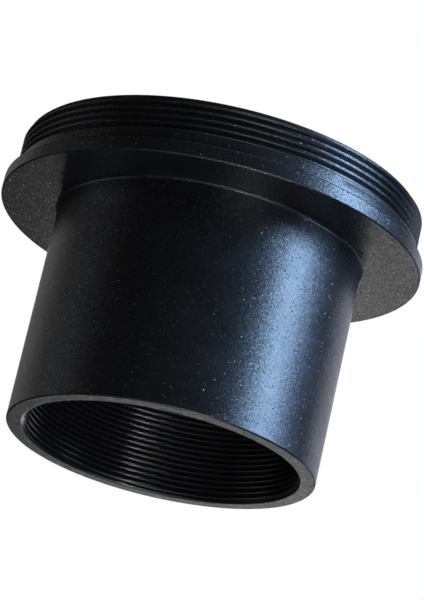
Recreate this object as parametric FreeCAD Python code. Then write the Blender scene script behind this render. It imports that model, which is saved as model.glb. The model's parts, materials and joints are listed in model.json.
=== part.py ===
import FreeCAD, Part
import math
import os

# A Barlow nosepiece for a telescope: a 1.25 inch barrel with a T-thread flange behind it, and a negative
# achromat in a threaded cell deep inside. Everything is turned round one optical axis.
#
# Frame: millimetres, Z is the optical axis. The part stands on its camera end, z = 0, with the barrel's open
# mouth at the top. X points through the spanner slots, and the origin is the centre of the camera end.

# ---- nosepiece body, outside ----
TOTAL_LENGTH = 29.85          # camera end to mouth
BARREL_R = 15.85              # 1.25 inch class barrel, 31.7 mm across
BARREL_LENGTH = 23.3          # mouth to flange, the part that slides into a focuser
FLANGE_R = 21.92
FLANGE_THICKNESS = 1.52
FLANGE_CHAMFER = 0.14
ROOT_BEVEL = 0.3              # small bevel that the tool's nose leaves at the root of the barrel
MOUTH_CHAMFER = 0.12          # outer edge of the mouth

# ---- camera thread, M42 x 0.75, drawn as rings ----
CAMERA_THREAD_R = 20.95       # crests, and the plain neck behind them
CAMERA_PITCH = 0.75
CAMERA_TURNS = 5
CAMERA_GROOVE_DEPTH = 0.40
CAMERA_FIRST_GROOVE_Z = 0.28  # centre of the groove nearest the camera end
CAMERA_END_CHAMFER = 0.45     # taken off the radius at the camera end
HALF_ROOT_FLAT = 0.03         # half the flat at the bottom of every thread groove

# ---- nosepiece body, inside ----
FILTER_THREAD_R = 13.925      # crests of the M28.5 x 0.6 thread
FILTER_PITCH = 0.6
FILTER_TURNS = 16
FILTER_GROOVE_DEPTH = 0.27
MOUTH_LEAD_IN = 0.42          # lead-in chamfer inside the mouth, measured across
MOUTH_LEAD_IN_DEPTH = 0.28    # the same chamfer, measured along the axis
DEEP_BORE_R = 14.10           # the same thread further in, plain at its mean radius
DEEP_BORE_TOP_Z = 19.2
SEAT_Z = 3.0                  # shoulder that the cell is screwed down to
LIP_THICKNESS = 0.8
LIP_APERTURE_R = 12.3
BACK_RECESS_R = 18.0          # recess in the camera end

# ---- lens cell and its rings ----
RUNNING_CLEARANCE = 0.05      # radial, between mating threads
CELL_LENGTH = 8.8
CELL_BORE_R = 12.5            # bore that the glass sits in
CELL_APERTURE_R = 11.4
CELL_SEAT_THICKNESS = 0.9
RETAINER_R = 13.0
RETAINER_APERTURE_R = 11.6
RETAINER_THICKNESS = 1.8
RETAINER_THREAD_DEPTH = 2.6   # threaded length in the cell's mouth
LOCK_RING_APERTURE_R = 12.4
LOCK_RING_THICKNESS = 1.8
LOCK_RING_GAP = 0.02          # left between the lock ring and the cell
SLOT_WIDTH = 2.0
SLOT_DEPTH = 0.9
RING_CHAMFER = 0.2

# ---- glass ----
GLASS_R = 12.45
GLASS_FLAT_R = 11.9           # the curved faces end here, a flat rim is left outside
CUSHION_THICKNESS = 0.2
CUSHION_INNER_R = 11.5
SPACER_THICKNESS = 0.2
FLINT_EDGE = 1.15             # height of the flint's rim
FLINT_CURVE_R = 40.0          # convex, towards the mouth
CROWN_INNER_CURVE_R = 40.0    # concave, facing the flint
CROWN_OUTER_CURVE_R = 55.0    # concave, facing the mouth
CROWN_CENTRE = 1.2

# ---- glare stop ----
STOP_APERTURE_R = 11.8
STOP_THICKNESS = 1.0
STOP_EDGE = 0.15              # land left at the knife edge

# ---- heights worked out from the values above ----
FLANGE_TOP_Z = TOTAL_LENGTH - BARREL_LENGTH
FLANGE_LOW_Z = FLANGE_TOP_Z - FLANGE_THICKNESS
RECESS_DEPTH = SEAT_Z - LIP_THICKNESS
PLUG_R = DEEP_BORE_R - RUNNING_CLEARANCE
CELL_TOP_Z = SEAT_Z + CELL_LENGTH
CUSHION_Z = SEAT_Z + CELL_SEAT_THICKNESS
FLINT_Z = CUSHION_Z + CUSHION_THICKNESS
SPACER_Z = FLINT_Z + FLINT_EDGE
CROWN_Z = SPACER_Z + SPACER_THICKNESS


def sagitta(curve_r, rim_r):
    """Height of a spherical cap of radius curve_r out to rim_r."""
    return curve_r - math.sqrt(curve_r ** 2 - rim_r ** 2)


def line(a, b):
    """Straight edge between two (radius, height) points."""
    return Part.makeLine(FreeCAD.Vector(a[0], 0, a[1]), FreeCAD.Vector(b[0], 0, b[1]))


def arc(a, middle, b):
    """Arc through three (radius, height) points."""
    points = [FreeCAD.Vector(p[0], 0, p[1]) for p in (a, middle, b)]
    return Part.Arc(*points).toShape()


def turned(edges):
    """Solid turned round the optical axis from the edges of a closed half section."""
    wire = Part.Wire(Part.__sortEdges__(edges))
    return Part.Face(wire).revolve(FreeCAD.Vector(0, 0, 0), FreeCAD.Vector(0, 0, 1), 360)


def turned_outline(points):
    """Solid turned from a closed outline of straight edges."""
    closing = points[1:] + points[:1]
    return turned([line(a, b) for a, b in zip(points, closing)])


def ring(inner_r, outer_r, low_z, high_z):
    """Plain flat ring."""
    return turned_outline([(inner_r, low_z), (outer_r, low_z), (outer_r, high_z), (inner_r, high_z)])


def groove_points(crest_r, root_r, first_z, pitch, turns):
    """Zigzag of (radius, height) points for a row of 60 degree V grooves, from low to high."""
    half_width = abs(crest_r - root_r) * math.tan(math.radians(30)) + HALF_ROOT_FLAT
    points = []
    for turn in range(turns):
        centre = first_z + turn * pitch
        points.append((crest_r, centre - half_width))
        points.append((root_r, centre - HALF_ROOT_FLAT))
        points.append((root_r, centre + HALF_ROOT_FLAT))
        points.append((crest_r, centre + half_width))
    return points


def slots(inner_r, outer_r, top_z):
    """Two cutters for the spanner slots across a ring, on the X axis."""
    length = outer_r - inner_r
    cutters = []
    for start_x in (inner_r, -outer_r):
        corner = FreeCAD.Vector(start_x, -SLOT_WIDTH / 2, top_z - SLOT_DEPTH)
        cutters.append(Part.makeBox(length, SLOT_WIDTH, SLOT_DEPTH + 1, corner))
    return cutters


def nosepiece_body():
    """Barrel, flange, neck and camera thread in one turned piece, with the filter thread cut inside."""
    camera_root = CAMERA_THREAD_R - CAMERA_GROOVE_DEPTH
    filter_root = FILTER_THREAD_R + FILTER_GROOVE_DEPTH
    first_filter_z = DEEP_BORE_TOP_Z + FILTER_PITCH / 2
    outside = [(BACK_RECESS_R, 0), (CAMERA_THREAD_R - CAMERA_END_CHAMFER, 0)]
    thread = groove_points(CAMERA_THREAD_R, camera_root, CAMERA_FIRST_GROOVE_Z, CAMERA_PITCH, CAMERA_TURNS)
    # The end chamfer runs out into the first groove, so that groove's lower flank is left off.
    outside += thread[1:]
    outside += [
        (CAMERA_THREAD_R, FLANGE_LOW_Z),
        (FLANGE_R - FLANGE_CHAMFER, FLANGE_LOW_Z),
        (FLANGE_R, FLANGE_LOW_Z + FLANGE_CHAMFER),
        (FLANGE_R, FLANGE_TOP_Z - FLANGE_CHAMFER),
        (FLANGE_R - FLANGE_CHAMFER, FLANGE_TOP_Z),
        (BARREL_R + ROOT_BEVEL, FLANGE_TOP_Z),
        (BARREL_R, FLANGE_TOP_Z + ROOT_BEVEL),
        (BARREL_R, TOTAL_LENGTH - MOUTH_CHAMFER),
        (BARREL_R - MOUTH_CHAMFER, TOTAL_LENGTH),
        (FILTER_THREAD_R + MOUTH_LEAD_IN, TOTAL_LENGTH),
        (FILTER_THREAD_R, TOTAL_LENGTH - MOUTH_LEAD_IN_DEPTH),
    ]
    inside = groove_points(FILTER_THREAD_R, filter_root, first_filter_z, FILTER_PITCH, FILTER_TURNS)[::-1]
    inside += [
        (FILTER_THREAD_R, DEEP_BORE_TOP_Z),
        (DEEP_BORE_R, DEEP_BORE_TOP_Z),
        (DEEP_BORE_R, SEAT_Z),
        (LIP_APERTURE_R, SEAT_Z),
        (LIP_APERTURE_R, RECESS_DEPTH),
        (BACK_RECESS_R, RECESS_DEPTH),
    ]
    return turned_outline(outside + inside)


def lens_cell():
    """Threaded housing: seat lip at the bottom, bore for the glass, wider bore for the retaining ring."""
    retainer_bore = RETAINER_R + RUNNING_CLEARANCE
    retainer_floor = CELL_TOP_Z - RETAINER_THREAD_DEPTH
    outline = [
        (CELL_APERTURE_R, SEAT_Z),
        (PLUG_R - RING_CHAMFER, SEAT_Z),
        (PLUG_R, SEAT_Z + RING_CHAMFER),
        (PLUG_R, CELL_TOP_Z - RING_CHAMFER),
        (PLUG_R - RING_CHAMFER, CELL_TOP_Z),
        (retainer_bore, CELL_TOP_Z),
        (retainer_bore, retainer_floor),
        (CELL_BORE_R, retainer_floor),
        (CELL_BORE_R, CUSHION_Z),
        (CELL_APERTURE_R, CUSHION_Z),
    ]
    cell = turned_outline(outline)
    for cutter in slots(retainer_bore - 1, PLUG_R + 1, CELL_TOP_Z):
        cell = cell.cut(cutter)
    return cell


def flint_element():
    """Plano-convex element, flat towards the camera."""
    top = FLINT_Z + FLINT_EDGE + sagitta(FLINT_CURVE_R, GLASS_FLAT_R)
    middle_r = GLASS_FLAT_R / 2
    rim = (GLASS_FLAT_R, FLINT_Z + FLINT_EDGE)
    edges = [
        line((0, FLINT_Z), (GLASS_R, FLINT_Z)),
        line((GLASS_R, FLINT_Z), (GLASS_R, rim[1])),
        line((GLASS_R, rim[1]), rim),
        arc(rim, (middle_r, top - sagitta(FLINT_CURVE_R, middle_r)), (0, top)),
        line((0, top), (0, FLINT_Z)),
    ]
    return turned(edges)


def crown_element():
    """Biconcave element that makes the lens group negative."""
    low = CROWN_Z + sagitta(CROWN_INNER_CURVE_R, GLASS_FLAT_R)
    high = low + CROWN_CENTRE
    rim_z = high + sagitta(CROWN_OUTER_CURVE_R, GLASS_FLAT_R)
    middle_r = GLASS_FLAT_R / 2
    low_middle = (middle_r, low - sagitta(CROWN_INNER_CURVE_R, middle_r))
    high_middle = (middle_r, high + sagitta(CROWN_OUTER_CURVE_R, middle_r))
    edges = [
        arc((0, low), low_middle, (GLASS_FLAT_R, CROWN_Z)),
        line((GLASS_FLAT_R, CROWN_Z), (GLASS_R, CROWN_Z)),
        line((GLASS_R, CROWN_Z), (GLASS_R, rim_z)),
        line((GLASS_R, rim_z), (GLASS_FLAT_R, rim_z)),
        arc((GLASS_FLAT_R, rim_z), high_middle, (0, high)),
        line((0, high), (0, low)),
    ]
    return turned(edges), rim_z


def retaining_ring(low_z):
    """Threaded ring with two spanner slots that clamps the glass in the cell."""
    high_z = low_z + RETAINER_THICKNESS
    body = turned_outline([
        (RETAINER_APERTURE_R, low_z),
        (RETAINER_R, low_z),
        (RETAINER_R, high_z - RING_CHAMFER),
        (RETAINER_R - RING_CHAMFER, high_z),
        (RETAINER_APERTURE_R + RING_CHAMFER, high_z),
        (RETAINER_APERTURE_R, high_z - RING_CHAMFER),
    ])
    for cutter in slots(RETAINER_APERTURE_R - 1, RETAINER_R + 1, high_z):
        body = body.cut(cutter)
    return body


def lock_ring():
    """Threaded ring with two spanner slots that is screwed down on the cell."""
    low_z = CELL_TOP_Z + LOCK_RING_GAP
    high_z = low_z + LOCK_RING_THICKNESS
    body = turned_outline([
        (LOCK_RING_APERTURE_R, low_z),
        (PLUG_R - RING_CHAMFER, low_z),
        (PLUG_R, low_z + RING_CHAMFER),
        (PLUG_R, high_z - RING_CHAMFER),
        (PLUG_R - RING_CHAMFER, high_z),
        (LOCK_RING_APERTURE_R + RING_CHAMFER, high_z),
        (LOCK_RING_APERTURE_R, high_z - RING_CHAMFER),
    ])
    for cutter in slots(LOCK_RING_APERTURE_R - 1, PLUG_R + 1, high_z):
        body = body.cut(cutter)
    return body


def glare_stop():
    """Ring pressed into the recess behind the lens group, bevelled to a knife edge at its aperture."""
    high_z = RECESS_DEPTH
    low_z = high_z - STOP_THICKNESS
    bevel = STOP_THICKNESS - STOP_EDGE
    return turned_outline([
        (STOP_APERTURE_R, high_z),
        (STOP_APERTURE_R, high_z - STOP_EDGE),
        (STOP_APERTURE_R + bevel, low_z),
        (BACK_RECESS_R, low_z),
        (BACK_RECESS_R, high_z),
    ])


def main():
    """Build every piece and write one file for each."""
    os.makedirs("parts", exist_ok=True)
    crown, crown_rim_z = crown_element()
    pieces = {
        "nosepiece_body": nosepiece_body(),
        "lens_cell": lens_cell(),
        "seat_cushion": ring(CUSHION_INNER_R, GLASS_R, CUSHION_Z, FLINT_Z),
        "flint_element": flint_element(),
        "element_spacer": ring(GLASS_FLAT_R, GLASS_R, SPACER_Z, CROWN_Z),
        "crown_element": crown,
        "retaining_ring": retaining_ring(crown_rim_z),
        "lock_ring": lock_ring(),
        "glare_stop": glare_stop(),
    }
    for name, shape in pieces.items():
        shape.exportStep("parts/%s.step" % name)
        box = shape.BoundBox
        print("%-16s valid %s, %8.1f mm3, z %.2f to %.2f"
              % (name, shape.isValid(), shape.Volume, box.ZMin, box.ZMax))


main()
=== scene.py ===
# %% [markdown]
# # A Barlow nosepiece in black anodised aluminium
#
# The object is a short telescope nosepiece: a plain barrel with an open mouth, a thin flange, a smooth
# neck and a fine camera thread. A negative lens group sits in a screw-in cell deep inside. Every piece
# was turned on a lathe, so nearly every mesh here is one outline swept round the Z axis. The lesson loads
# the measured model as a fixed frame, sweeps better meshes over it, and then spends its effort on
# threads, edges and the finish.

# %% Load the frame
import json
import math

import bmesh
import bpy
from mathutils import Matrix, Vector

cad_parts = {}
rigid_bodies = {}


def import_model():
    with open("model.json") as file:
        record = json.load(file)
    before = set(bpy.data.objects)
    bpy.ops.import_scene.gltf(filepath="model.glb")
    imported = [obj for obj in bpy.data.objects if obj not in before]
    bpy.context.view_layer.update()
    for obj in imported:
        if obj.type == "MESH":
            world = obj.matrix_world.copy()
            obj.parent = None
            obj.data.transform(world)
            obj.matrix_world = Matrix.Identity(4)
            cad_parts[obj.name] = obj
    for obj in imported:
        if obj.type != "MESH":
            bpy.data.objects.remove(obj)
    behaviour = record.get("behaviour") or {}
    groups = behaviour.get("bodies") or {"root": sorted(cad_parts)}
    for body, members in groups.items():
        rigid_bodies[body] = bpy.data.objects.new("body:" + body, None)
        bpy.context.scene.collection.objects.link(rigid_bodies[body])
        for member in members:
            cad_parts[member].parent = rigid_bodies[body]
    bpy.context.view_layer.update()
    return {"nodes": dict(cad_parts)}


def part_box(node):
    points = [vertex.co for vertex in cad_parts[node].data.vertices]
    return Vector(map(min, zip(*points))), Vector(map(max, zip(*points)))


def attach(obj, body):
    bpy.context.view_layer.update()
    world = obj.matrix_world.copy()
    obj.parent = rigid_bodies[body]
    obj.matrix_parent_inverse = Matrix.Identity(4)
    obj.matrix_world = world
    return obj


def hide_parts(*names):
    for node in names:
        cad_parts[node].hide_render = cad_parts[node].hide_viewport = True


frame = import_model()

MM = 0.001
print("frame nodes:", ", ".join(sorted(frame["nodes"])))

# %% [markdown]
# ## Sizes
#
# The frame already knows how big everything is, so the driving sizes are read from its boxes in
# millimetres. Only what a box can't tell, such as a thread's depth or the width of a chamfer, is given
# as a number.

# %% Sizes read from the frame


def reach(node):
    """Outer radius, lowest and highest height of a node, in millimetres."""
    low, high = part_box(node)
    return high.x / MM, low.z / MM, high.z / MM


FLANGE_R, BODY_LOW, BODY_TOP = reach("nosepiece_body")
CELL_R, CELL_LOW, CELL_TOP = reach("lens_cell")
_, LOCK_LOW, LOCK_TOP = reach("lock_ring")
RETAINER_R, RETAINER_LOW, RETAINER_TOP = reach("retaining_ring")
STOP_R, STOP_LOW, STOP_TOP = reach("glare_stop")
GLASS_R, FLINT_LOW, FLINT_TOP = reach("flint_element")
_, CROWN_LOW, CROWN_TOP = reach("crown_element")
_, CUSHION_LOW, CUSHION_TOP = reach("seat_cushion")
_, SPACER_LOW, SPACER_TOP = reach("element_spacer")
print("body: %.2f mm across, %.2f mm long" % (2 * FLANGE_R, BODY_TOP - BODY_LOW))

# %% Sizes written down, in millimetres
BARREL_R = 15.85
FLANGE_TOP = 6.55
FLANGE_LOW = 5.03
FLANGE_CHAMFER = 0.13
ROOT_FILLET = 0.3
MOUTH_CHAMFER = 0.12
MOUTH_OPENING_R = 14.345
LEAD_IN_SLOPE = 1.5
LEAD_IN_START = 0.08
RECESS_R = 18.0
LIP_APERTURE_R = 12.3
EDGE_ROUNDING = 0.04
FINE_ROUNDING = 0.03

# Each thread: its crest and root radius, its pitch, and the height of a groove at a turn's start.
CAMERA_THREAD = {"crest": 20.95, "root": 20.54, "pitch": 0.75, "start": 0.44}
FILTER_THREAD = {"crest": 13.925, "root": 14.22, "pitch": 0.6, "start": CELL_LOW}
PLUG_THREAD = {"crest": CELL_R + 0.1, "root": CELL_R - 0.19, "pitch": 0.6, "start": CELL_LOW + 0.3}
CLAMP_HOLE_THREAD = {"crest": RETAINER_R - 0.22, "root": RETAINER_R + 0.05, "pitch": 0.5, "start": 0}
CLAMP_THREAD = {"crest": RETAINER_R, "root": RETAINER_R - 0.27, "pitch": 0.5, "start": 0.25}
print("barrel: %.2f mm, camera thread: %.2f mm across" % (2 * BARREL_R, 2 * CAMERA_THREAD["crest"]))

# %% [markdown]
# ## Outlines
#
# A turned part is fully described by half of its cross-section. No machined edge is perfectly sharp: a
# file and the blasting leave it a few hundredths of a millimetre round, and that tiny round is what
# catches the light. It could be made with a Bevel modifier, but a modifier would also round every thread.
# So the outline itself is softened: each corner becomes a short arc, and a holding point on either side
# keeps the flats flat.

# %% Soft corners
ARC_STEPS = 3
MOST_TRIM = 0.3


def softened(points, radius=EDGE_ROUNDING):
    """Outline with every corner between its two ends rounded, and a holding point beside each round."""
    result = [points[0]]
    for before, corner, after in zip(points, points[1:], points[2:]):
        corner_v = Vector(corner)
        back = Vector(before) - corner_v
        ahead = Vector(after) - corner_v
        half_turn = back.angle(ahead) / 2
        room = MOST_TRIM * min(back.length, ahead.length)
        trim = min(radius / math.tan(half_turn), room)
        actual_radius = trim * math.tan(half_turn)
        middle = (back.normalized() + ahead.normalized()).normalized()
        centre = corner_v + middle * (actual_radius / math.sin(half_turn))
        start = corner_v + back.normalized() * trim
        end = corner_v + ahead.normalized() * trim
        result.append(tuple(start + back.normalized() * trim))
        for step in range(ARC_STEPS + 1):
            towards = (start - centre).lerp(end - centre, step / ARC_STEPS).normalized()
            result.append(tuple(centre + towards * actual_radius))
        result.append(tuple(end + ahead.normalized() * trim))
    result.append(points[-1])
    return result


def fillet(corner, radius, steps=8):
    """Quarter circle in an inside corner, from the wall above it round to the floor beside it."""
    centre = Vector((corner[0] + radius, corner[1] + radius))
    points = []
    for step in range(steps + 1):
        angle = math.pi + step / steps * math.pi / 2
        points.append((centre.x + radius * math.cos(angle), centre.y + radius * math.sin(angle)))
    return points


print("a softened corner has", ARC_STEPS + 3, "points")

# %% [markdown]
# ## Threads
#
# A screw thread is a V groove that climbs one pitch per turn. It could be stacked rings, and many models
# cheat that way, but a ring never meets itself one pitch higher, and the start of the thread at the
# chamfer gives it away. Here every column of the sweep asks for the thread's outline at its own angle, so
# the groove really is a helix. Where a chamfer or the neck cuts the thread off, a limit on the radius
# trims it, as a tool would.

# %% One column of a helical thread
FINE_FLANK = ((0.0, 1.0), (0.38, 0.62), (0.82, 0.18), (1.12, 0.0))
QUICK_FLANK = ((0.0, 1.0), (0.5, 0.5), (1.0, 0.0))
HALF_FLANK_ANGLE = math.radians(30)


def groove_offsets(thread, flank):
    """Heights in pitches, from one crest to the next, with the groove's depth from 0 to 1 at each."""
    male = thread["root"] < thread["crest"]
    width = abs(thread["crest"] - thread["root"]) * math.tan(HALF_FLANK_ANGLE) / thread["pitch"]
    root_flat = (1 - 2 * width) * (2 / 3 if male else 1 / 3)
    half = [(root_flat / 2 + share * width, depth) for share, depth in flank]
    return [(-offset, depth) for offset, depth in reversed(half)] + half


def thread_column(thread, low, high, turn, limit, flank=QUICK_FLANK, fade=None):
    """Outline of a right-hand thread at this share of a turn, from the low end to the high end."""
    column = []
    first = math.floor((low - thread["start"]) / thread["pitch"]) - 2
    last = math.ceil((high - thread["start"]) / thread["pitch"]) + 1
    for groove in range(first, last + 1):
        for offset, depth in groove_offsets(thread, flank):
            height = thread["start"] + (groove + offset + turn) * thread["pitch"]
            height = min(max(height, low), high)
            kept = depth * (fade(height) if fade else 1)
            radius = thread["crest"] + kept * (thread["root"] - thread["crest"])
            column.append((limit(radius, height), height))
    return column


def trimmed_outside(low, high, end_r):
    """Limit for a male thread: a 45 degree chamfer down to end_r at both ends."""
    def limit(radius, height):
        return min(radius, end_r + min(height - low, high - height))
    return limit


def trimmed_inside(low, high, end_r):
    """Limit for a female thread: a 45 degree chamfer out to end_r at both ends."""
    def limit(radius, height):
        return max(radius, end_r - min(height - low, high - height))
    return limit


for offset, depth in groove_offsets(CAMERA_THREAD, FINE_FLANK):
    print("camera groove: %+.3f pitch, %.0f%% deep" % (offset, 100 * depth))

# %% [markdown]
# ## The sweep
#
# Blender's Screw modifier can sweep an outline, but only one that stays the same all the way round. This
# small lathe takes a function instead and asks it for a fresh outline in every column. The last column
# stands one turn after the first. There a helix has moved up by exactly one groove, so welding close
# points joins each groove to its neighbour and closes the seam.

# %% The lathe
COLUMNS = 176
WELD = 2e-4 * MM
SHARP_EDGE = math.radians(48)
FIRST_TURN = 0.25
SLOT_WIDTH = 2.0


def even_turns():
    """The columns of a plain sweep: a share of a turn, whether a slot is cut, and which slot edge it is."""
    return [(FIRST_TURN + column / COLUMNS, False, None) for column in range(COLUMNS + 1)]


def spoke(turn, edge, radius):
    """Direction out from the axis. The two edges of a slot stay parallel all the way in."""
    angle = turn * math.tau
    if edge:
        centre, side = edge
        angle = centre * math.tau + side * math.asin(SLOT_WIDTH / 2 / radius)
    return Vector((math.cos(angle), math.sin(angle), 0))


def turned_piece(name, section, turns=None, closed=True):
    """Object swept round the Z axis from section(turn, cut), a list of (radius, height) in millimetres."""
    mesh = bmesh.new()
    rows = []
    for turn, cut, edge in turns or even_turns():
        row = []
        for radius, height in section(turn, cut):
            point = spoke(turn, edge, radius) * radius + Vector((0, 0, height))
            row.append(mesh.verts.new(point * MM))
        rows.append(row)
    for row, next_row in zip(rows, rows[1:]):
        for i in range(len(row) if closed else len(row) - 1):
            j = (i + 1) % len(row)
            mesh.faces.new((row[i], row[j], next_row[j], next_row[i]))
    bmesh.ops.remove_doubles(mesh, verts=mesh.verts, dist=WELD)
    bmesh.ops.recalc_face_normals(mesh, faces=mesh.faces)
    open_edges = sum(1 for edge in mesh.edges if not edge.is_manifold)
    data = bpy.data.meshes.new(name)
    mesh.to_mesh(data)
    mesh.free()
    data.polygons.foreach_set("use_smooth", [True] * len(data.polygons))
    data.set_sharp_from_angle(angle=SHARP_EDGE)
    data.validate()
    piece = bpy.data.objects.new(name, data)
    bpy.context.scene.collection.objects.link(piece)
    print("%s: %d faces, %d open edges" % (name, len(data.polygons), open_edges))
    return piece


def same_all_round(points):
    """Section for a piece with no thread and no slot."""
    return lambda turn, cut: points


def put(piece, body_name, node):
    """The piece rides on a body and stands in for a node, whose mesh is hidden."""
    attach(piece, body_name)
    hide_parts(node)


# %% [markdown]
# ## The body
#
# Barrel, flange, neck and camera thread are one piece of aluminium. The outline runs from the camera end
# up the outside, over the mouth and down the long internal thread to the shoulder that the lens cell is
# screwed against. A chamfer trims the camera thread at its start, and its last groove fades into the neck
# where the threading tool was drawn out. Inside, a relief groove ends the thread just above the shoulder.

# %% Body outline
CAMERA_THREAD_CHAMFER = 0.45
CAMERA_END_R = CAMERA_THREAD["crest"] - CAMERA_THREAD_CHAMFER
CAMERA_THREAD_TOP = 3.75
CAMERA_FADE_START = 3.3
RELIEF_R = 14.26
RELIEF_WIDTH = 0.45
RELIEF_TOP = CELL_LOW + RELIEF_WIDTH
RECESS_SEAM_LOW = 0.6
RECESS_SEAM_TOP = 0.7
NECK_HOLD = 0.5
FILLET_HOLD = 0.2


def camera_fade(height):
    """Depth left of the camera thread where the tool is drawn out into the neck."""
    return min(max((CAMERA_THREAD_TOP - height) / (CAMERA_THREAD_TOP - CAMERA_FADE_START), 0), 1)


def camera_limit(radius, height):
    """45 degree chamfer at the start of the camera thread."""
    return min(radius, CAMERA_END_R + height)


def filter_limit(radius, height):
    """Lead-in chamfer at the mouth, and the relief groove above the shoulder."""
    lead_in = MOUTH_OPENING_R - LEAD_IN_SLOPE * (BODY_TOP - height)
    relief = RELIEF_R - max(height - RELIEF_TOP, 0)
    return max(radius, lead_in, relief)


def body_section(turn, cut):
    """Outline of the body at this share of a turn."""
    camera_end = softened([(RECESS_R, RECESS_SEAM_LOW), (RECESS_R, 0), (CAMERA_END_R, 0)])
    outside = thread_column(
        CAMERA_THREAD, 0, CAMERA_THREAD_TOP, turn, camera_limit, FINE_FLANK, camera_fade)
    flange = softened([
        (CAMERA_THREAD["crest"], FLANGE_LOW - NECK_HOLD),
        (CAMERA_THREAD["crest"], FLANGE_LOW),
        (FLANGE_R - FLANGE_CHAMFER, FLANGE_LOW),
        (FLANGE_R, FLANGE_LOW + FLANGE_CHAMFER),
        (FLANGE_R, FLANGE_TOP - FLANGE_CHAMFER),
        (FLANGE_R - FLANGE_CHAMFER, FLANGE_TOP),
        (BARREL_R + ROOT_FILLET + FILLET_HOLD, FLANGE_TOP),
    ], FINE_ROUNDING)
    root = fillet((BARREL_R, FLANGE_TOP), ROOT_FILLET)[::-1]
    mouth = softened([
        (BARREL_R, FLANGE_TOP + ROOT_FILLET + FILLET_HOLD),
        (BARREL_R, BODY_TOP - MOUTH_CHAMFER),
        (BARREL_R - MOUTH_CHAMFER, BODY_TOP),
        (MOUTH_OPENING_R, BODY_TOP),
        (MOUTH_OPENING_R - LEAD_IN_SLOPE * LEAD_IN_START, BODY_TOP - LEAD_IN_START),
    ], FINE_ROUNDING)
    thread_top = BODY_TOP - LEAD_IN_START
    inside = thread_column(FILTER_THREAD, CELL_LOW, thread_top, turn, filter_limit, FINE_FLANK)[::-1]
    seat = softened([
        (RELIEF_R, CELL_LOW),
        (LIP_APERTURE_R, CELL_LOW),
        (LIP_APERTURE_R, STOP_TOP),
        (RECESS_R, STOP_TOP),
        (RECESS_R, RECESS_SEAM_TOP),
    ])
    return camera_end + outside[1:] + flange + root + mouth + inside[1:] + seat[1:]


print("a column of the body has", len(body_section(0, False)), "points")

# %% Sweep the body
body = turned_piece("body_shell", body_section)
put(body, "nosepiece", "nosepiece_body")

# %% [markdown]
# ## Rings with spanner slots
#
# The lens cell, its retaining ring and the lock ring are turned with a pin spanner, so each has two slots
# across its mouth face. A Boolean would cut them, but it likes to fail on hundreds of thread faces. The
# lathe can do it: at a slot's edge it makes two columns at the same place, one full and one cut down to
# the slot's floor.

# %% Slots for the lathe
SLOT_DEPTH = 0.9
SLOT_CENTRES = (0.5, 1.0)
JUST_AFTER = 1e-9


def slotted_turns(outer_radius):
    """The columns of a sweep with two slots, with a doubled column at each edge of a slot."""
    half = math.asin(SLOT_WIDTH / 2 / outer_radius) / math.tau
    turns = []
    for turn, _, _ in even_turns():
        gap = min(abs(turn - centre) for centre in SLOT_CENTRES)
        if abs(gap - half) > 0.5 / COLUMNS:
            turns.append((turn, gap < half, None))
    for centre in SLOT_CENTRES:
        turns.append((centre - half, False, (centre, -1)))
        turns.append((centre - half + JUST_AFTER, True, (centre, -1)))
        turns.append((centre + half, True, (centre, 1)))
        turns.append((centre + half + JUST_AFTER, False, (centre, 1)))
    return sorted(turns, key=lambda column: column[0])


def drawn_down(wall, floor):
    """A rising wall, with every point above floor moved to where the wall crosses floor."""
    result = []
    crossing = None
    for radius, height in wall:
        if height > floor and crossing is None:
            share = (floor - result[-1][1]) / (height - result[-1][1])
            crossing = (result[-1][0] + share * (radius - result[-1][0]), floor)
        result.append(crossing if height > floor else (radius, height))
    return result


def slotted(outer_wall, inner_wall, floor, cut):
    """Closed outline from a rising outer and a falling inner wall, cut down to floor where cut is true."""
    if not cut:
        return outer_wall + inner_wall
    return drawn_down(outer_wall, floor) + drawn_down(inner_wall[::-1], floor)[::-1]


print("slots are %.1f mm wide and %.1f mm deep" % (SLOT_WIDTH, SLOT_DEPTH))

# %% [markdown]
# ## The lens cell
#
# The cell is a small threaded cup. Its thread runs in the body's own long thread, so both grooves start
# from the same height and the cell's crests sit in the body's grooves in every pose. Inside there is a
# lip for the glass to sit on, a smooth bore that holds it, and a finer thread above for the retaining
# ring.

# %% Sweep the lens cell
CELL_APERTURE_R = 11.4
CELL_BORE_R = 12.5
CELL_SEAT = CUSHION_LOW
CLAMP_DEPTH = 2.6
CLAMP_FLOOR = CELL_TOP - CLAMP_DEPTH
CLAMP_RELIEF = 0.05


def cell_section(turn, cut):
    """Outline of the lens cell at this share of a turn."""
    plug_trim = trimmed_outside(CELL_LOW, CELL_TOP, PLUG_THREAD["root"])
    outside = thread_column(PLUG_THREAD, CELL_LOW, CELL_TOP, turn, plug_trim)
    clamp_end_r = CLAMP_HOLE_THREAD["root"] + CLAMP_RELIEF
    clamp_trim = trimmed_inside(CLAMP_FLOOR, CELL_TOP, clamp_end_r)
    clamp = thread_column(CLAMP_HOLE_THREAD, CLAMP_FLOOR, CELL_TOP, turn, clamp_trim)[::-1]
    bore = softened([
        (clamp_end_r, CLAMP_FLOOR),
        (CELL_BORE_R, CLAMP_FLOOR),
        (CELL_BORE_R, CELL_SEAT),
        (CELL_APERTURE_R, CELL_SEAT),
        (CELL_APERTURE_R, CELL_LOW),
        (PLUG_THREAD["root"], CELL_LOW),
    ])
    return slotted(outside, clamp + bore[1:-1], CELL_TOP - SLOT_DEPTH, cut)


cell = turned_piece("cell_cup", cell_section, slotted_turns(CELL_R))
put(cell, "cell", "lens_cell")

# %% [markdown]
# ## The two rings
#
# The retaining ring holds the glass in the cell, and the lock ring is run down on the cell so that it
# can't creep. They are the same kind of part: a threaded ring with a chamfered aperture and two spanner
# slots. One function makes both, and each gets its own thread and its own height.

# %% Sweep the retaining ring and the lock ring
RETAINER_APERTURE_R = 11.6
LOCK_APERTURE_R = 12.4
RING_EDGE = 0.2


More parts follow.
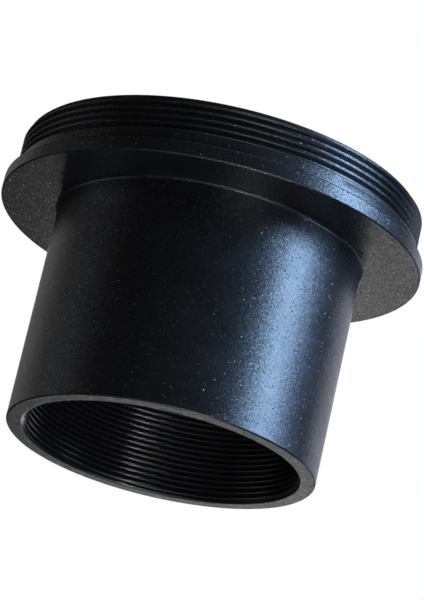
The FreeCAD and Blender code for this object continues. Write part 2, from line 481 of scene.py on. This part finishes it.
def threaded_ring(name, thread, low, high, aperture_r):
    """A ring with a male thread, a chamfered aperture and two spanner slots in its upper face."""
    def section(turn, cut):
        outside = thread_column(thread, low, high, turn, trimmed_outside(low, high, thread["root"]))
        inside = softened([
            (thread["root"], high),
            (aperture_r + RING_EDGE, high),
            (aperture_r, high - RING_EDGE),
            (aperture_r, low),
            (thread["root"], low),
        ])
        return slotted(outside, inside[1:-1], high - SLOT_DEPTH, cut)
    return turned_piece(name, section, slotted_turns(thread["crest"]))


retainer = threaded_ring("glass_clamp", CLAMP_THREAD, RETAINER_LOW, RETAINER_TOP, RETAINER_APERTURE_R)
put(retainer, "cell", "retaining_ring")
lock = threaded_ring("cell_lock", PLUG_THREAD, LOCK_LOW, LOCK_TOP, LOCK_APERTURE_R)
put(lock, "lock_ring", "lock_ring")

# %% [markdown]
# ## The glare stop
#
# Behind the lens a flat ring with a bevelled aperture keeps stray light off the sensor. The bevel faces
# the camera, so that no bright edge looks back at it. It is pressed in and painted, with no thread.

# %% Sweep the glare stop
STOP_APERTURE_R = 11.8
STOP_MIDDLE_R = 15
STOP_LAND = 0.15


def glare_stop_outline():
    """Closed outline of the glare stop."""
    bevel = STOP_TOP - STOP_LOW - STOP_LAND
    corners = [
        (STOP_APERTURE_R, STOP_TOP),
        (STOP_APERTURE_R, STOP_TOP - STOP_LAND),
        (STOP_APERTURE_R + bevel, STOP_LOW),
        (STOP_R, STOP_LOW),
        (STOP_R, STOP_TOP),
    ]
    start = (STOP_MIDDLE_R, STOP_TOP)
    return softened([start] + corners + [start])[:-1]


stop = turned_piece("stop_ring", same_all_round(glare_stop_outline()))
put(stop, "nosepiece", "glare_stop")

# %% [markdown]
# ## Cushion and spacer
#
# Glass never sits straight on metal. A thin plastic cushion lies on the cell's seat, and a second thin
# ring keeps the two elements apart at their rims. They are punched from sheet, so they are flat with soft
# edges.

# %% Sweep the cushion and the spacer
CUSHION_APERTURE_R = 11.5
SPACER_APERTURE_R = 11.9


def flat_ring(name, inner_r, outer_r, low, high):
    """A thin flat ring with softened edges."""
    start = ((inner_r + outer_r) / 2, low)
    corners = [(outer_r, low), (outer_r, high), (inner_r, high), (inner_r, low)]
    return turned_piece(name, same_all_round(softened([start] + corners + [start])[:-1]))


cushion = flat_ring("cushion_ring", CUSHION_APERTURE_R, GLASS_R, CUSHION_LOW, CUSHION_TOP)
put(cushion, "lens_group", "seat_cushion")
spacer = flat_ring("spacer_ring", SPACER_APERTURE_R, GLASS_R, SPACER_LOW, SPACER_TOP)
put(spacer, "lens_group", "element_spacer")

# %% [markdown]
# ## The glass
#
# The two elements are ground spheres with a flat rim. Their surfaces have to be true arcs, because glass
# shows every facet in its reflections, so each curve is worked out from its radius in many small steps.
# The outline starts and ends on the axis, and there the lathe's welded points become the lens's poles.

# %% Sweep the two elements
GLASS_FLAT_R = 11.9
GLASS_ROUNDING = 0.08
INNER_CURVE_R = 40
OUTER_CURVE_R = 55
CROWN_MIDDLE = 1.2
FLINT_BACK_RADII = (0, 6, 11.5)
CURVE_STEPS = 28


def lens_curve(curve_r, pole, rising):
    """Points of a spherical face from the axis to the flat rim. A rising face is higher at its rim."""
    points = []
    for step in range(CURVE_STEPS + 1):
        radius = GLASS_FLAT_R * step / CURVE_STEPS
        sag = curve_r - math.sqrt(curve_r ** 2 - radius ** 2)
        points.append((radius, pole + sag if rising else pole - sag))
    return points


def rim(low, high):
    """The ground edge of a lens, from its lower flat rim up to its upper one."""
    corners = [(GLASS_FLAT_R, low), (GLASS_R, low), (GLASS_R, high), (GLASS_FLAT_R, high)]
    return softened(corners, GLASS_ROUNDING)[1:-1]


FLINT_RIM_TOP = SPACER_LOW
CROWN_POLE_LOW = CROWN_LOW + INNER_CURVE_R - math.sqrt(INNER_CURVE_R ** 2 - GLASS_FLAT_R ** 2)
CROWN_POLE_TOP = CROWN_POLE_LOW + CROWN_MIDDLE
flint_back = [(radius, FLINT_LOW) for radius in FLINT_BACK_RADII]
flint_face = lens_curve(INNER_CURVE_R, FLINT_TOP, rising=False)
flint_outline = flint_back + rim(FLINT_LOW, FLINT_RIM_TOP) + flint_face[::-1]
flint = turned_piece("flint_glass", same_all_round(flint_outline), closed=False)
put(flint, "lens_group", "flint_element")
crown_low_face = lens_curve(INNER_CURVE_R, CROWN_POLE_LOW, rising=False)
crown_top_face = lens_curve(OUTER_CURVE_R, CROWN_POLE_TOP, rising=True)
crown_outline = crown_low_face + rim(CROWN_LOW, CROWN_TOP) + crown_top_face[::-1]
crown = turned_piece("crown_glass", same_all_round(crown_outline), closed=False)
put(crown, "lens_group", "crown_element")

# %% [markdown]
# ## Writing materials as arithmetic
#
# Node trees are easy to draw and hard to read. This small class wraps a socket, so that ordinary
# arithmetic on it adds the Math nodes, and a mask can be written as 1 - wear. Everything that isn't
# arithmetic comes from one method, node, that sets a node's settings first and then its sockets.

# %% Values and finishes


class Value:
    """A number that changes over a surface. Arithmetic on it adds Math nodes to its finish."""

    def __init__(self, finish, socket):
        self.finish = finish
        self.socket = socket

    def math(self, operation, first, second):
        """The result of one Math node."""
        return self.finish.node("ShaderNodeMath", {"operation": operation}, {0: first, 1: second})

    def __add__(self, other):
        return self.math("ADD", self, other)

    def __radd__(self, other):
        return self.math("ADD", other, self)

    def __sub__(self, other):
        return self.math("SUBTRACT", self, other)

    def __rsub__(self, other):
        return self.math("SUBTRACT", other, self)

    def __mul__(self, other):
        return self.math("MULTIPLY", self, other)

    def __rmul__(self, other):
        return self.math("MULTIPLY", other, self)

    def __pow__(self, other):
        return self.math("POWER", self, other)

    def __lt__(self, other):
        return self.math("LESS_THAN", self, other)

    def __gt__(self, other):
        return self.math("GREATER_THAN", self, other)


class Finish:
    """The look of a material or of the world, being written as nodes."""

    def __init__(self, owner):
        self.owner = owner
        self.owner.use_nodes = True
        self.tree = owner.node_tree
        self.tree.nodes.clear()

    def node(self, kind, settings=None, inputs=None, output=0):
        """One node, its settings first and then its sockets. Gives one of its outputs, if it has any."""
        node = self.tree.nodes.new(kind)
        for setting, value in (settings or {}).items():
            setattr(node, setting, value)
        for socket, value in (inputs or {}).items():
            if isinstance(value, Value):
                self.tree.links.new(value.socket, node.inputs[socket])
            else:
                node.inputs[socket].default_value = value
        return Value(self, node.outputs[output]) if node.outputs else None

    def place(self):
        """The point on the piece, in metres."""
        return self.node("ShaderNodeTexCoord", output="Object")

    def noise(self, scale, detail=2.0):
        """Noise from 0 to 1, with scale in bumps per metre."""
        inputs = {"Vector": self.place(), "Scale": scale, "Detail": detail}
        return self.node("ShaderNodeTexNoise", None, inputs, "Fac")

    def mixed(self, share, first, second):
        """A colour between first and second."""
        return self.node("ShaderNodeMix", {"data_type": "RGBA"}, {0: share, 6: first, 7: second}, 2)

    def vector(self, operation, first, second=None, scale=None):
        """The result of one Vector Math node."""
        inputs = {0: first}
        if second is not None:
            inputs[1] = second
        if scale is not None:
            inputs["Scale"] = scale
        return self.node("ShaderNodeVectorMath", {"operation": operation}, inputs)

    def shade(self, shader, end="ShaderNodeOutputMaterial"):
        """Makes shader the surface of the owner, and gives the owner."""
        self.node(end, None, {"Surface": shader})
        return self.owner


def new_finish(name):
    """The finish of a new material."""
    return Finish(bpy.data.materials.new(name))


print("Value and Finish are ready")

# %% [markdown]
# ## Black anodising
#
# The aluminium is blasted before it is anodised, so the black film lies over a fine grain. Three things
# make it look real: a film that reflects a little more than paint does, a roughness that wanders, and
# single grains that happen to face a light and flash. The grains come from a Voronoi texture, which gives
# every small cell its own random colour that tilts it. White noise made from that colour chooses the few
# cells that flash.
# The threaded bore gets a paler black: painted light, a fill that lifts its dark threads in place of a
# lamp.

# %% The anodised finish
# The bore and the grain's depth are in millimetres, and the scales are in bumps or cells per metre.
BORE_WALL_R = 14.25
GRAIN_DEPTH = 0.02
WANDER_SCALE = 260
GRAIN_SCALE = 9000
CELL_SCALE = 10000
CELL_TILT = 0.13
FLAKE_TILT = 0.5
BORE_CALM = 0.06
ROUGHNESS_WANDER = 0.12
FLAKE_POLISH = 0.1
DEEP_BLACK = (0.0055, 0.0057, 0.0072, 1)
PALER_BLACK = (0.0085, 0.0087, 0.0105, 1)
# Paler black for the threaded bore: painted light that lifts its dark threads.
BORE_PAINTED_LIGHT_BLACK = (0.014, 0.014, 0.016, 1)
FLASH = (0.065, 0.065, 0.07, 1)


def anodised(name, roughness, bore_roughness, grain, sparkle):
    """Black anodised aluminium with its blasted grain and its flashing grains."""
    finish = new_finish(name)
    place = {"Vector": finish.place()}
    x = finish.node("ShaderNodeSeparateXYZ", None, place, "X")
    y = finish.node("ShaderNodeSeparateXYZ", None, place, "Y")
    in_bore = (x * x + y * y) ** 0.5 < BORE_WALL_R * MM
    wander = finish.noise(WANDER_SCALE, 3)
    fine = finish.noise(GRAIN_SCALE, 2)
    cells = {"Vector": finish.place(), "Scale": CELL_SCALE}
    flake_colour = finish.node("ShaderNodeTexVoronoi", None, cells, "Color")
    chance = finish.node("ShaderNodeTexWhiteNoise", None, {"Vector": flake_colour}, "Value")
    flake = (chance > 1 - sparkle) * (1 - in_bore)
    bump = {"Strength": grain, "Distance": GRAIN_DEPTH * MM, "Height": fine}
    grained = finish.node("ShaderNodeBump", None, bump)
    lean = finish.vector("SUBTRACT", flake_colour, (0.5, 0.5, 0.5))
    tilt = finish.vector("SCALE", lean, scale=flake * FLAKE_TILT + CELL_TILT - in_bore * BORE_CALM)
    tilted = finish.vector("NORMALIZE", finish.vector("ADD", grained, tilt))
    film = finish.mixed(wander, DEEP_BLACK, PALER_BLACK)
    # Painted light: inside the bore the film gives way to a paler black that brightens the threads.
    black = finish.mixed(in_bore, film, BORE_PAINTED_LIGHT_BLACK)
    smoother = in_bore * (roughness - bore_roughness) + flake * FLAKE_POLISH
    shader = finish.node("ShaderNodeBsdfPrincipled", None, {
        "Base Color": finish.mixed(flake, black, FLASH),
        "Metallic": flake * 0.5,
        "Roughness": roughness + (wander - 0.5) * ROUGHNESS_WANDER - smoother,
        "IOR": 1.7,
        "Normal": tilted,
    })
    return finish.shade(shader)


body.data.materials.append(anodised("anodised_body", 0.35, 0.19, 0.30, 0.045))
cell.data.materials.append(anodised("anodised_cell", 0.40, 0.36, 0.3, 0.03))
retainer.data.materials.append(anodised("anodised_ring", 0.36, 0.34, 0.3, 0.03))
lock.data.materials.append(anodised("anodised_lock_ring", 0.34, 0.32, 0.3, 0.03))
print("four anodised finishes")

# %% [markdown]
# ## Matt paint and plastic
#
# The glare stop is sprayed with a deep matt paint that scatters light in every direction. The cushion and
# the spacer are thin black plastic with a slight sheen. Both are simple, so they share one function.

# %% The plain black finishes


def plain_black(name, colour, roughness, ior, scale, depth):
    """A black paint or plastic with a small uneven surface, its bumps depth millimetres high."""
    finish = new_finish(name)
    uneven = finish.noise(scale, 3)
    darkest = (*colour, 1)
    palest = (*(1.4 * channel for channel in colour), 1)
    bump = {"Strength": 0.5, "Distance": depth * MM, "Height": uneven}
    shader = finish.node("ShaderNodeBsdfPrincipled", None, {
        "Base Color": finish.mixed(uneven, darkest, palest),
        "Roughness": roughness + (uneven - 0.5) * 0.15,
        "IOR": ior,
        "Normal": finish.node("ShaderNodeBump", None, bump),
    })
    return finish.shade(shader)


matt_paint = plain_black("matt_black_paint", (0.006, 0.006, 0.006), 0.85, 1.35, 3500, 0.02)
stop.data.materials.append(matt_paint)
cushion_plastic = plain_black("cushion_plastic", (0.012, 0.012, 0.012), 0.5, 1.5, 1800, 0.01)
cushion.data.materials.append(cushion_plastic)
spacer_plastic = plain_black("spacer_plastic", (0.010, 0.010, 0.011), 0.45, 1.5, 1800, 0.01)
spacer.data.materials.append(spacer_plastic)
print("paint and plastic")

# %% [markdown]
# ## Coated glass
#
# Lens glass is clear and perfectly smooth, so its look is all in the constants: its index, and the thin
# film that gives the coating its colour. The ground rim is inked black to stop light that strays inside
# the glass. The rim gets a second material, given to the faces whose middle lies near the outer radius.

# %% The glass finishes
INK_DEPTH = 0.06
TINT = (0.97, 0.99, 0.98, 1)
PALER_TINT = (0.98, 0.985, 0.985, 1)
TINT_SCALE = 900


def coated_glass(name, ior, film):
    """Clear glass with a thin anti-reflection film of this thickness in nanometres."""
    finish = new_finish(name)
    wander = finish.noise(TINT_SCALE, 2)
    shader = finish.node("ShaderNodeBsdfPrincipled", None, {
        "Base Color": finish.mixed(wander, TINT, PALER_TINT),
        "Roughness": 0.0,
        "IOR": ior,
        "Transmission Weight": 1.0,
        "Thin Film Thickness": film,
        "Thin Film IOR": 1.38,
    })
    return finish.shade(shader)


def ink_the_rim(glass, ink):
    """Gives the ground edge of a lens the black ink."""
    glass.data.materials.append(ink)
    count = 0
    for face in glass.data.polygons:
        if face.center.xy.length > (GLASS_R - INK_DEPTH) * MM:
            face.material_index = 1
            count += 1
    print("%s: %d inked faces" % (glass.name, count))


rim_ink = plain_black("rim_ink", (0.008, 0.008, 0.008), 0.8, 1.4, 3000, 0.01)
flint.data.materials.append(coated_glass("flint_glass", 1.62, 110))
crown.data.materials.append(coated_glass("crown_glass", 1.52, 125))
ink_the_rim(flint, rim_ink)
ink_the_rim(crown, rim_ink)

# %% [markdown]
# ## Camera
#
# The piece is seen from the side and a little from the mouth end, hung upside down in the frame, so the
# camera is rolled almost half a turn. Its place is written as an aim point, a distance, an elevation and
# a roll, and the three axes of the camera are worked out from them. A long lens keeps the ellipses of the
# rims calm.

# %% Place the camera
AIM = Vector((-1.6, 0, 12.66)) * MM
DISTANCE = 333.8 * MM
ELEVATION = math.radians(19.73)
ROLL = math.radians(166.99)
FOCAL_LENGTH = 196.75

forward = Vector((0, math.cos(ELEVATION), -math.sin(ELEVATION)))
level_up = Vector((0, math.sin(ELEVATION), math.cos(ELEVATION)))
level_right = forward.cross(level_up)
up = level_up * math.cos(ROLL) + level_right * math.sin(ROLL)
right = forward.cross(up)
lens = bpy.data.cameras.new("camera")
lens.lens = FOCAL_LENGTH
lens.clip_start = 0.01
camera = bpy.data.objects.new("camera", lens)
turned = Matrix((right, up, -forward)).transposed().to_4x4()
camera.matrix_world = Matrix.Translation(AIM - forward * DISTANCE) @ turned
bpy.context.scene.collection.objects.link(camera)
bpy.context.scene.camera = camera
print("camera at", tuple(round(c, 3) for c in camera.matrix_world.translation))

# %% [markdown]
# ## Floor and surroundings
#
# A black object shows only what it reflects, so the surroundings are the real material of this scene. The
# floor is a bright sheet that glows evenly and casts nothing on the piece. It is clear from below, so
# that the piece can be looked at from underneath. The world is dim to everything but the camera.

# %% Floor and world
FLOOR_HALF = 3000 * MM
FLOOR_HEIGHT = -0.2 * MM
WHITE = (1, 1, 1, 1)
AROUND = (0.02, 0.02, 0.02, 1)


def glowing(name, strength):
    """A plain pale sheet that glows evenly on its upper side and is clear from below."""
    finish = new_finish(name)
    glow = finish.node("ShaderNodeEmission", None, {"Color": WHITE, "Strength": strength})
    clear = finish.node("ShaderNodeBsdfTransparent")
    below = finish.node("ShaderNodeNewGeometry", output="Backfacing")
    return finish.shade(finish.node("ShaderNodeMixShader", None, {0: below, 1: glow, 2: clear}))


sheet = bmesh.new()
corners = []
for x, y in ((-1, -1), (1, -1), (1, 1), (-1, 1)):
    corners.append(sheet.verts.new((FLOOR_HALF * x, FLOOR_HALF * y, FLOOR_HEIGHT)))
sheet.faces.new(corners)
floor_data = bpy.data.meshes.new("floor")
sheet.to_mesh(floor_data)
sheet.free()
floor = bpy.data.objects.new("floor", floor_data)
floor.data.materials.append(glowing("pale_floor", 1.0))
floor.visible_diffuse = False
floor.visible_glossy = False
floor.visible_transmission = False
floor.visible_shadow = False
bpy.context.scene.collection.objects.link(floor)

world = bpy.data.worlds.new("studio")
bpy.context.scene.world = world
studio = Finish(world)
seen = studio.node("ShaderNodeLightPath", output="Is Camera Ray")
dim = studio.node("ShaderNodeBackground", None, {"Color": AROUND})
shown = studio.node("ShaderNodeBackground", None, {"Color": WHITE})
studio.shade(studio.node("ShaderNodeMixShader", None, {0: seen, 1: dim, 2: shown}), "ShaderNodeOutputWorld")
print("floor", tuple(floor.dimensions))

# %% [markdown]
# ## Soft lights
#
# Each light is a soft box at some distance from the piece, aimed at its middle. Angles go round from the
# camera and up from the level of the floor. The key light stands low at one side, in three parts, and
# gives the barrel its long blue band. Small lamps in front pick out single grains and the fine lines of
# the edges, and low lights behind fill the flat faces of the flange and the mouth.

# %% The lights
MIDDLE = Vector((0, 0, 14)) * MM


def soft_box(name, around, height, size, brightness, colour=(1, 1, 1), distance=0.6):
    """A square soft light. Angles in degrees: around from the camera towards -X, height above level."""
    turn = math.radians(around)
    rise = math.radians(height)
    level = Vector((-math.sin(turn), -math.cos(turn), 0))
    direction = level * math.cos(rise) + Vector((0, 0, math.sin(rise)))
    light = bpy.data.lights.new(name, "AREA")
    light.shape = "RECTANGLE"
    light.size = size
    light.size_y = size
    light.energy = brightness * math.pi * size ** 2
    light.color = colour
    box = bpy.data.objects.new(name, light)
    box.location = MIDDLE + direction * distance
    box.rotation_euler = direction.to_track_quat("Z", "Y").to_euler()
    box.visible_camera = False
    bpy.context.scene.collection.objects.link(box)
    print("%s: %.2f W" % (name, light.energy))
    return box


# The long blue band on the barrel.
soft_box("key", 68, -20, 0.18, 24, (0.41, 0.65, 1.0))
soft_box("key_side", 80, -32, 0.18, 9, (0.38, 0.59, 1.0))
soft_box("key_top", 78, 0, 0.20, 9.5, (0.38, 0.59, 1.0))

# The flashing grains, the glints in the bore and the fine lines of the edges.
soft_box("lamp", 20, 30, 0.08, 34, (0.95, 0.96, 1.0))
soft_box("front_lamp", 37, 69, 0.04, 62, (0.86, 0.93, 1.0))
soft_box("above", -14, 72, 0.40, 0.42, (0.88, 0.93, 1.0))
soft_box("overhead", 150, 78, 0.20, 1)

# The flat faces and the outer edges, from behind.
soft_box("back", 174, 9, 0.20, 1.4)
soft_box("back_corner", 142, 18, 0.20, 1.1, (0.6, 0.75, 1.0))
soft_box("back_low_right", 140, -14, 0.25, 1.1, (0.8, 0.85, 1.0))
soft_box("back_low", 176, -20, 0.40, 1.2)

# The dark side and the underside.
soft_box("left", -93, 4, 0.40, 0.6, (0.92, 0.95, 1.0))
soft_box("left_back", -140, -20, 0.40, 0.30)
soft_box("under", 20, -70, 0.25, 2.3)

bpy.context.scene.view_settings.view_transform = "Standard"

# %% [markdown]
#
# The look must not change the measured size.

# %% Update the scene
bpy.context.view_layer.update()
